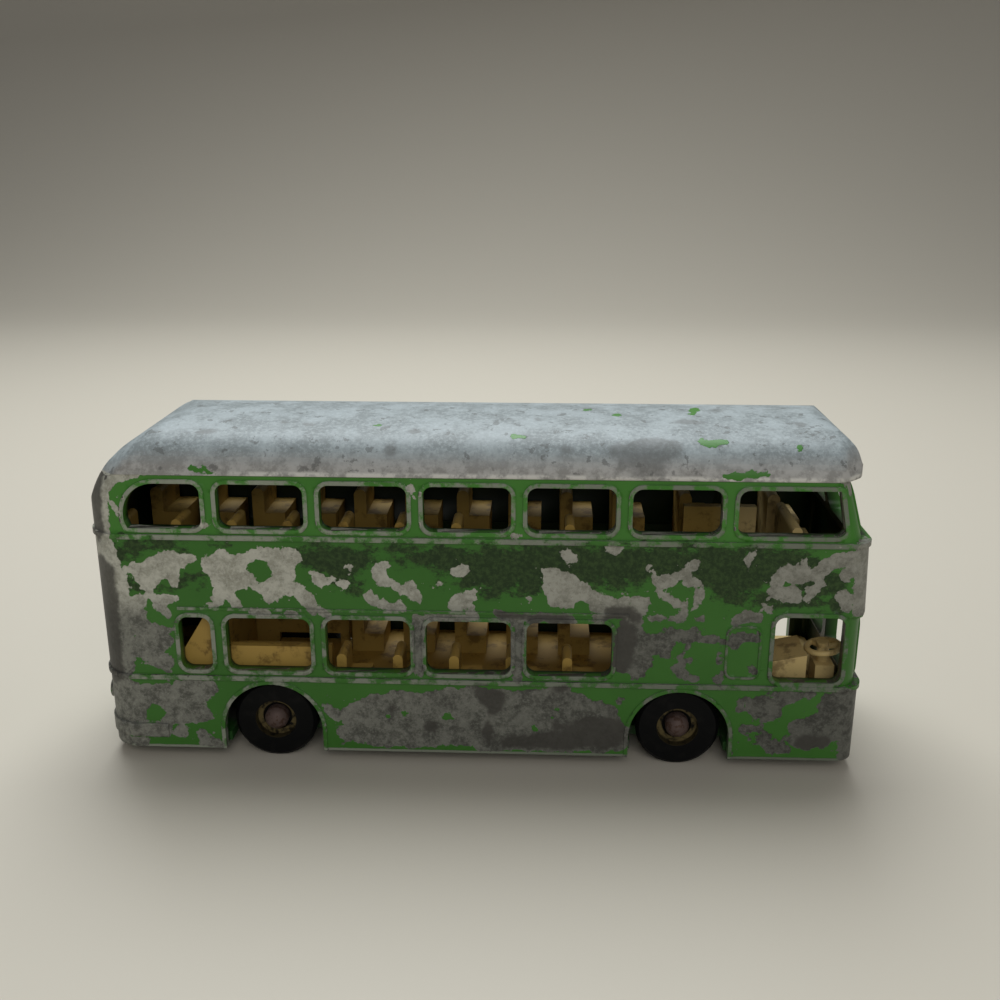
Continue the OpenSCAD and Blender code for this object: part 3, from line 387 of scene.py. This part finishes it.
class Shade:
    """Short calls that build one material's nodes. Lengths in its textures are millimetres."""

    def __init__(self, name):
        self.material = bpy.data.materials.new(name)
        self.material.use_nodes = True
        self.tree = self.material.node_tree
        self.shader = self.tree.nodes["Principled BSDF"]
        place = self.tree.nodes.new("ShaderNodeTexCoord").outputs["Object"]
        self.place = self.scaled(place, (1 / MM, 1 / MM, 1 / MM))

    def feed(self, socket, value):
        if isinstance(value, bpy.types.NodeSocket):
            self.tree.links.new(value, socket)
        elif isinstance(value, tuple) and len(value) == 3 and socket.type == "RGBA":
            socket.default_value = (*value, 1)
        else:
            socket.default_value = value

    def scaled(self, vector, shares):
        node = self.tree.nodes.new("ShaderNodeVectorMath")
        node.operation = "MULTIPLY"
        self.feed(node.inputs[0], vector)
        self.feed(node.inputs[1], shares)
        return node.outputs[0]

    def math(self, operation, a, b=0.0, c=0.0):
        node = self.tree.nodes.new("ShaderNodeMath")
        node.operation = operation
        for socket, value in zip(node.inputs, (a, b, c)):
            self.feed(socket, value)
        return node.outputs[0]

    def less(self, value):
        """What is left of 1."""
        return self.math("SUBTRACT", 1.0, value)

    def step(self, value, low, high):
        """0 below low and 1 above high, smooth between."""
        node = self.tree.nodes.new("ShaderNodeMapRange")
        node.interpolation_type = "SMOOTHSTEP"
        self.feed(node.inputs["Value"], value)
        node.inputs["From Min"].default_value = low
        node.inputs["From Max"].default_value = high
        return node.outputs["Result"]

    def mix(self, share, a, b):
        node = self.tree.nodes.new("ShaderNodeMix")
        node.data_type = "RGBA"
        self.feed(node.inputs["Factor"], share)
        self.feed(node.inputs[6], a)
        self.feed(node.inputs[7], b)
        return node.outputs[2]

    def noise(self, size, detail=4.0, roughness=0.55, stretch=(1, 1, 1)):
        """Noise about 0.5 whose blotches are about size across."""
        node = self.tree.nodes.new("ShaderNodeTexNoise")
        self.feed(node.inputs["Vector"], self.scaled(self.place, stretch))
        node.inputs["Scale"].default_value = 1 / size
        node.inputs["Detail"].default_value = detail
        node.inputs["Roughness"].default_value = roughness
        return node.outputs["Fac"]

    def stored(self, name):
        """A value stored on the mesh's points."""
        node = self.tree.nodes.new("ShaderNodeAttribute")
        node.attribute_name = name
        return node.outputs["Fac"]

    def axes(self, vector):
        node = self.tree.nodes.new("ShaderNodeSeparateXYZ")
        self.feed(node.inputs[0], vector)
        return node.outputs

    def soft_edges(self, radius):
        node = self.tree.nodes.new("ShaderNodeBevel")
        node.samples = 6
        self.feed(node.inputs["Radius"], radius)
        return node.outputs["Normal"]

    def bump(self, height, distance, strength, normal):
        node = self.tree.nodes.new("ShaderNodeBump")
        node.inputs["Strength"].default_value = strength
        node.inputs["Distance"].default_value = distance * MM
        self.feed(node.inputs["Height"], height)
        self.feed(node.inputs["Normal"], normal)
        return node.outputs["Normal"]

    def finish(self, colour, roughness, metallic=0.0, normal=None, specular=0.3):
        self.feed(self.shader.inputs["Base Color"], colour)
        self.feed(self.shader.inputs["Roughness"], roughness)
        self.feed(self.shader.inputs["Metallic"], metallic)
        self.shader.inputs["Specular IOR Level"].default_value = specular
        if normal is not None:
            self.feed(self.shader.inputs["Normal"], normal)
        return self.material


def body_material():
    """Green enamel over cast zinc, bare where the stored wear says so and on what stands proud."""
    s = Shade("worn_enamel")
    geometry = s.tree.nodes.new("ShaderNodeNewGeometry")
    along, across, high = (s.axes(s.place)[axis] for axis in "XYZ")
    across = s.math("ABSOLUTE", across)
    up = s.axes(geometry.outputs["Normal"])["Z"]
    above_gutter = s.step(high, GUTTER_Z - 0.05, GUTTER_Z + 0.1)

    ragged = s.math("MULTIPLY", s.math("SUBTRACT", s.noise(1.1, 4, 0.55), 0.5), 1.3)
    fine = s.math("MULTIPLY", s.math("SUBTRACT", s.noise(0.3, 2), 0.5), 0.3)
    bare = s.math("ADD", s.math("ADD", s.stored("bare"), ragged), fine)
    specks = s.step(s.noise(0.55, 3, 0.6), 0.69, 0.72)
    specks = s.math("MULTIPLY", specks, s.step(s.stored("bare"), -1.0, -0.5))
    bare = s.math("MAXIMUM", s.step(bare, -0.04, 0.04), specks)

    # Beads, ribs and ledges are rubbed through here and there, and the hem nearly everywhere
    proud = s.step(across, SIDE_Y + 0.07, SIDE_Y + 0.13)
    ledge = s.math("MULTIPLY", s.step(up, 0.5, 0.9), s.step(across, SIDE_Y - 0.45, SIDE_Y - 0.05))
    hem = s.math("MULTIPLY", s.less(s.step(high, *HEM_Z)), 1.4)
    edge = s.math("MAXIMUM", s.math("MAXIMUM", proud, ledge), hem)
    rubbed = s.math("MULTIPLY_ADD", s.noise(1.6, 5, 0.65), 3.0, -3.4)
    edge = s.step(s.math("MULTIPLY_ADD", edge, 2.0, rubbed), -0.2, 0.3)
    edge = s.math("MULTIPLY", s.math("MULTIPLY", edge, 0.85), s.less(above_gutter))
    metal = s.math("MAXIMUM", bare, edge)

    residue = s.math("SUBTRACT", s.noise(1.5, 6, 0.75, (0.8, 1, 1.2)), 0.5)
    residue = s.step(s.math("MULTIPLY_ADD", residue, 6.0, s.stored("residue")), -0.2, 0.7)
    fibres = s.step(s.noise(0.45, 5, 0.8), 0.42, 0.62)
    paint = s.mix(s.noise(7.0, 3), *GREEN)
    paint = s.mix(s.math("MULTIPLY", residue, 0.9), paint, s.mix(fibres, *SOILED))
    paint = s.scaled(paint, s.mix(s.step(high, *UPPER_PAINT_Z), *UPPER_PAINT_SHARES))
    paint = s.mix(s.stored("outside"), INSIDE, paint)

    mottle = s.step(s.noise(1.5, 6, 0.75), 0.40, 0.60)
    grain = s.math("MULTIPLY", s.step(s.noise(0.4, 5, 0.75), 0.45, 0.65), 0.5)
    stain = s.math("MULTIPLY", s.step(s.noise(0.7, 6, 0.8), 0.53, 0.66), 0.45)
    upper = s.step(high, *UPPER_ZINC_Z)
    zinc = s.mix(upper, s.mix(mottle, *LOW_ZINC), s.mix(mottle, *SIDE_ZINC))
    zinc = s.mix(grain, zinc, s.mix(upper, *GRAIN_ZINC))
    zinc = s.mix(stain, zinc, s.mix(upper, *STAIN_ZINC))
    zinc = s.mix(s.math("MULTIPLY", edge, s.less(bare)), zinc, RUBBED_ZINC)
    zinc = s.scaled(zinc, s.mix(s.step(along, *ZINC_X), *ZINC_SHARES))

    clouds = s.step(s.noise(3.5, 6, 0.7), 0.40, 0.60)
    flecks = s.noise(1.3, 4, 0.6)
    # Upward faces of the roof get a bluish painted reflection of the sky, sideways faces a warmer grey
    roof_zinc_with_painted_light = s.mix(grain, s.mix(clouds, *ROOF_ZINC_AND_SKY_REFLECTION), ROOF_GRAIN_AND_SKY_REFLECTION)
    roof_zinc_with_painted_light = s.mix(s.math("MULTIPLY", stain, 0.6), roof_zinc_with_painted_light, ROOF_STAIN)
    roof_zinc_with_painted_light = s.mix(s.less(s.step(up, 0.25, 0.75)), roof_zinc_with_painted_light, s.mix(mottle, *ROOF_EDGE))
    spots = s.math("MULTIPLY", s.step(flecks, 0.60, 0.64), 0.55)
    roof_zinc_with_painted_light = s.mix(spots, roof_zinc_with_painted_light, ROOF_SPOT)
    # A near-white band just above the gutter, forward of DRIP_X: rubbed metal with a painted highlight
    drip_rub_and_highlight = s.less(s.step(high, GUTTER_Z + 0.3, GUTTER_Z + 0.6))
    drip_rub_and_highlight = s.math("MULTIPLY", drip_rub_and_highlight, s.step(flecks, 0.40, 0.56))
    drip_rub_and_highlight = s.math("MULTIPLY", drip_rub_and_highlight, s.step(along, *DRIP_X))
    roof_zinc_with_painted_light = s.mix(drip_rub_and_highlight, roof_zinc_with_painted_light, ROOF_DRIP_RUB_AND_HIGHLIGHT)
    zinc = s.mix(above_gutter, zinc, roof_zinc_with_painted_light)

    # Dark metal patches, with painted shade down the rounded rear corner
    dark = s.step(s.math("ADD", s.stored("dark"), ragged), -0.3, 0.3)
    dark = s.math("MULTIPLY", dark, s.math("MULTIPLY_ADD", above_gutter, -0.3, 0.85))
    zinc = s.mix(dark, zinc, s.mix(above_gutter, *DARK_ZINC))

    # Sharp edges are softened a little, and those of the roof more
    softness = s.step(high, GUTTER_Z + 0.4, GUTTER_Z + 2)
    softness = s.math("MULTIPLY_ADD", softness, 1.6 * MM, 0.1 * MM)
    normal = s.bump(s.less(metal), 0.05, 0.7, s.soft_edges(softness))
    roughness = s.math("MULTIPLY_ADD", metal, 0.12, 0.38)
    return s.finish(s.mix(metal, paint, zinc), roughness, normal=normal)


def plain_material(name, colour, dirt, size, roughness, metallic=0.0):
    """A plain colour with blotches of dirt about size across."""
    s = Shade(name)
    share = s.step(s.noise(size, 6, 0.65), 0.495, 0.595)
    return s.finish(s.mix(s.math("MULTIPLY", share, 0.8), colour, dirt), roughness, metallic)


def deck_material():
    """Cream plastic, brown with dirt along the decks, and paler towards their open front end with painted
    light from the windscreen.
    """
    s = Shade("yellowed_plastic")
    # Paler towards the front: painted light from the windscreen
    clean_with_front_light = s.mix(s.step(s.axes(s.place)["X"], *DECK_FRONT_LIGHT_X), *DECK_COLOURS_AND_FRONT_LIGHT)
    dirt = s.math("MULTIPLY", s.step(s.noise(2.5, 6, 0.65), 0.52, 0.64), 0.8)
    return s.finish(s.mix(dirt, clean_with_front_light, s.scaled(clean_with_front_light, DECK_DIRT_SHARES)), 0.5)


def wheel_material(node):
    """Black plastic with a tan, dusty ring round the axle's head."""
    s = Shade("black_plastic")
    lo, hi = (Vector(c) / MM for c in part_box(node))
    axes = s.axes(s.place)
    along = s.math("SUBTRACT", axes["X"], (lo.x + hi.x) / 2)
    above = s.math("SUBTRACT", axes["Z"], (lo.z + hi.z) / 2)
    radius = s.math("SQRT", s.math("MULTIPLY_ADD", along, along, s.math("MULTIPLY", above, above)))
    ring = s.math("MULTIPLY", s.step(radius, *TYRE_RING_IN), s.less(s.step(radius, *TYRE_RING_OUT)))
    ring = s.math("MULTIPLY", ring, s.step(s.noise(0.8, 5, 0.6), 0.35, 0.55))
    tyre = s.mix(s.step(s.noise(1.5, 5), 0.5, 0.75), *TYRE)
    return s.finish(s.mix(ring, tyre, TYRE_RING), 0.5, specular=0.12)


def depth(x, y):
    """How far points lie inside the body's plan, in millimetres."""
    along = np.abs(x) - END_X + CORNER_R
    across = np.abs(y) - SIDE_Y + CORNER_R
    corner = (along > 0) & (across > 0)
    return CORNER_R - np.where(corner, np.hypot(along, across), np.maximum(along, across))


def outer(x, y, z, nx, ny, nz):
    """Whether points with these normals belong to the body's outside."""
    ends = (np.abs(x) > ENDS_X) & (nx * np.sign(x) > ENDS_TURN)
    roof = (z > GUTTER_Z) & (nx * x / END_X + ny * y / SIDE_Y + nz > 0)
    return (depth(x, y) < SKIN) & (z < GUTTER_Z) | ends | roof


def cut_grid(bm):
    """Cut the body's outside into cells about GRID wide, whose points can carry the wear."""
    faces = [f for f in bm.faces if outer(*(f.calc_center_median() / MM), *f.normal)]
    verts = list({v for f in faces for v in f.verts})
    edges = list({e for f in faces for e in f.edges})
    geom = verts + edges + faces
    lo, hi = (Vector(c) for c in cad_box)
    for axis in range(3):
        normal = Vector([float(i == axis) for i in range(3)])
        for at in np.arange(lo[axis], hi[axis], GRID * MM)[1:]:
            cut = bmesh.ops.bisect_plane(bm, geom=geom, plane_co=normal * at, plane_no=normal, dist=1e-7)
            geom = cut["geom"]


def round_corners(bm):
    """Draw the body's upper corners in to a round form, seen along each diagonal."""
    corner = CORNER_R + (END_X + SIDE_Y - 2 * CORNER_R) / math.sqrt(2)
    for v in bm.verts:
        x, y, z = v.co / MM
        radius, low = (REAR_ROUND if x < 0 else FRONT_ROUND)
        if z < low or not outer(x, y, z, *v.normal):
            continue
        reach = (abs(x) + abs(y)) / math.sqrt(2)
        edge = corner - (0 if x < 0 else FRONT_SET_BACK)
        angle = min(math.atan2(z - low, reach - edge + radius), ROUND_END)
        out = math.cos(angle), math.sin(angle)
        past = (reach - edge + radius) * out[0] + (z - low) * out[1] - radius
        if past > 0:
            side = past * out[0] / math.sqrt(2)
            v.co -= Vector((math.copysign(side, x), math.copysign(side, y), past * out[1])) * MM


def store(mesh, name, values):
    mesh.attributes.new(name, "FLOAT", "POINT").data.foreach_set("value", values.astype(np.float32))


def worn_body(node):
    """The body's own mesh with a fine grid on its outside, and the wear stored on its points."""
    bm = bmesh.new()
    bm.from_mesh(node.data)
    bm.transform(node.matrix_world)
    bmesh.ops.remove_doubles(bm, verts=bm.verts, dist=JOIN * MM)
    cut_grid(bm)
    round_corners(bm)
    mesh = bpy.data.meshes.new("worn_body")
    bm.to_mesh(mesh)
    bm.free()
    mesh.shade_smooth()
    mesh.set_sharp_from_angle(angle=SMOOTH_ANGLE)

    points = np.empty(len(mesh.vertices) * 3)
    mesh.vertices.foreach_get("co", points)
    x, y, z = points.reshape(-1, 3).T / MM
    normals = np.empty(len(mesh.vertices) * 3)
    mesh.vertices.foreach_get("normal", normals)
    nx, ny, nz = normals.reshape(-1, 3).T

    # The left side and the ends carry the right side's pattern, turned over or moved along
    end = np.abs(nx) > np.abs(ny)
    wrapped = np.sign(nx) * (WRAP_X - WRAP_SHARE * (y + SIDE_Y))
    u = np.where(end, wrapped, np.where(y < 0, x, -x))
    bare = coverage(u, z, BARE_UPPER + BARE_LOWER + BARE_SKIRT)
    bare = np.minimum(bare, -coverage(u, z, KEPT))
    dark = coverage(u, z, DARK_METAL_AND_SHADE)
    residue = coverage(u, z, RESIDUE)
    roof = z > GUTTER_Z
    roof_bare = np.minimum(ROOF_WEAR, -coverage(x, y, ROOF_KEPT))
    gutter_bare = np.where(y < 0, -coverage(x, z, GUTTER_KEPT), ROOF_WEAR)
    bare = np.where(roof, np.minimum(roof_bare, gutter_bare), bare)
    dark = np.where(roof, coverage(x, y, ROOF_DARK), dark)
    outside = outer(x, y, z, nx, ny, nz)
    store(mesh, "bare", np.where(outside, bare, NO_WEAR))
    store(mesh, "outside", outside)
    store(mesh, "dark", dark)
    store(mesh, "residue", residue)

    body = bpy.data.objects.new("worn_body", mesh)
    bpy.context.scene.collection.objects.link(body)
    mesh.materials.append(body_material())
    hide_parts("body_shell")
    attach(body, "bus")


def dress_nodes():
    """Materials for the pieces that keep their CAD shape."""
    materials = {
        "base_paint": plain_material("base_enamel", *BASE, 3.0, 0.5),
        "deck_plastic": deck_material(),
        "axle_steel": plain_material("rusty_steel", *STEEL, 0.6, 0.6, 0.3),
    }
    for row in frame["record"]["subparts"]:
        name, slot = row["node"], row["material_slot"]
        if slot in materials or slot == "wheel_plastic":
            mesh = frame["nodes"][name].data
            mesh.materials.clear()
            mesh.materials.append(materials.get(slot) or wheel_material(name))


def add_camera():
    data = bpy.data.cameras.new("camera")
    data.lens = CAMERA_LENS
    data.sensor_width = CAMERA_SENSOR
    data.clip_start = CAMERA_NEAR * MM
    data.clip_end = CAMERA_FAR * MM
    camera = bpy.data.objects.new("camera", data)
    camera.location = Vector(CAMERA_AT) * MM
    camera.rotation_euler = [math.radians(a) for a in CAMERA_TURN]
    bpy.context.scene.collection.objects.link(camera)
    bpy.context.scene.camera = camera


def add_light(name, at, size, power, colour):
    """A square soft light at a place in millimetres, aimed at the middle of the bus."""
    data = bpy.data.lights.new(name, "AREA")
    data.size = size * MM
    data.energy = power
    data.color = colour
    light = bpy.data.objects.new(name, data)
    light.location = Vector(at) * MM
    aim = Vector(LIGHTS_AIM) * MM - light.location
    light.rotation_euler = aim.to_track_quat("-Z", "Y").to_euler()
    bpy.context.scene.collection.objects.link(light)


def add_floor():
    """A plain sheet that lies under the bus and bends up far behind it."""
    bm = bmesh.new()
    line = [(-FLOOR_FRONT, 0)]
    for a in (math.radians(degrees) for degrees in range(0, 91, 6)):
        line.append((FLOOR_BACK + FLOOR_BEND * math.sin(a), FLOOR_BEND * (1 - math.cos(a))))
    line.append((FLOOR_BACK + FLOOR_BEND, FLOOR_TOP))
    sides = (-FLOOR_SIDE, FLOOR_SIDE)
    rows = [[bm.verts.new(Vector((x, y, z)) * MM) for x in sides] for y, z in line]
    for (a, b), (c, d) in zip(rows, rows[1:]):
        bm.faces.new((a, b, d, c))
    mesh = bpy.data.meshes.new("floor")
    bm.to_mesh(mesh)
    bm.free()
    mesh.shade_smooth()
    floor = bpy.data.objects.new("floor", mesh)
    bpy.context.scene.collection.objects.link(floor)
    material = bpy.data.materials.new("floor")
    material.use_nodes = True
    shader = material.node_tree.nodes["Principled BSDF"]
    shader.inputs["Base Color"].default_value = FLOOR_COLOUR
    shader.inputs["Roughness"].default_value = FLOOR_ROUGHNESS
    mesh.materials.append(material)


def add_world():
    world = bpy.data.worlds.new("world")
    world.use_nodes = True
    background = world.node_tree.nodes["Background"]
    background.inputs["Color"].default_value = WORLD_COLOUR
    background.inputs["Strength"].default_value = WORLD_STRENGTH
    bpy.context.scene.world = world


bpy.context.scene.view_settings.view_transform = "Standard"
worn_body(frame["nodes"]["body_shell"])
dress_nodes()
add_camera()
for light in LIGHTS:
    add_light(*light)
add_floor()
add_world()
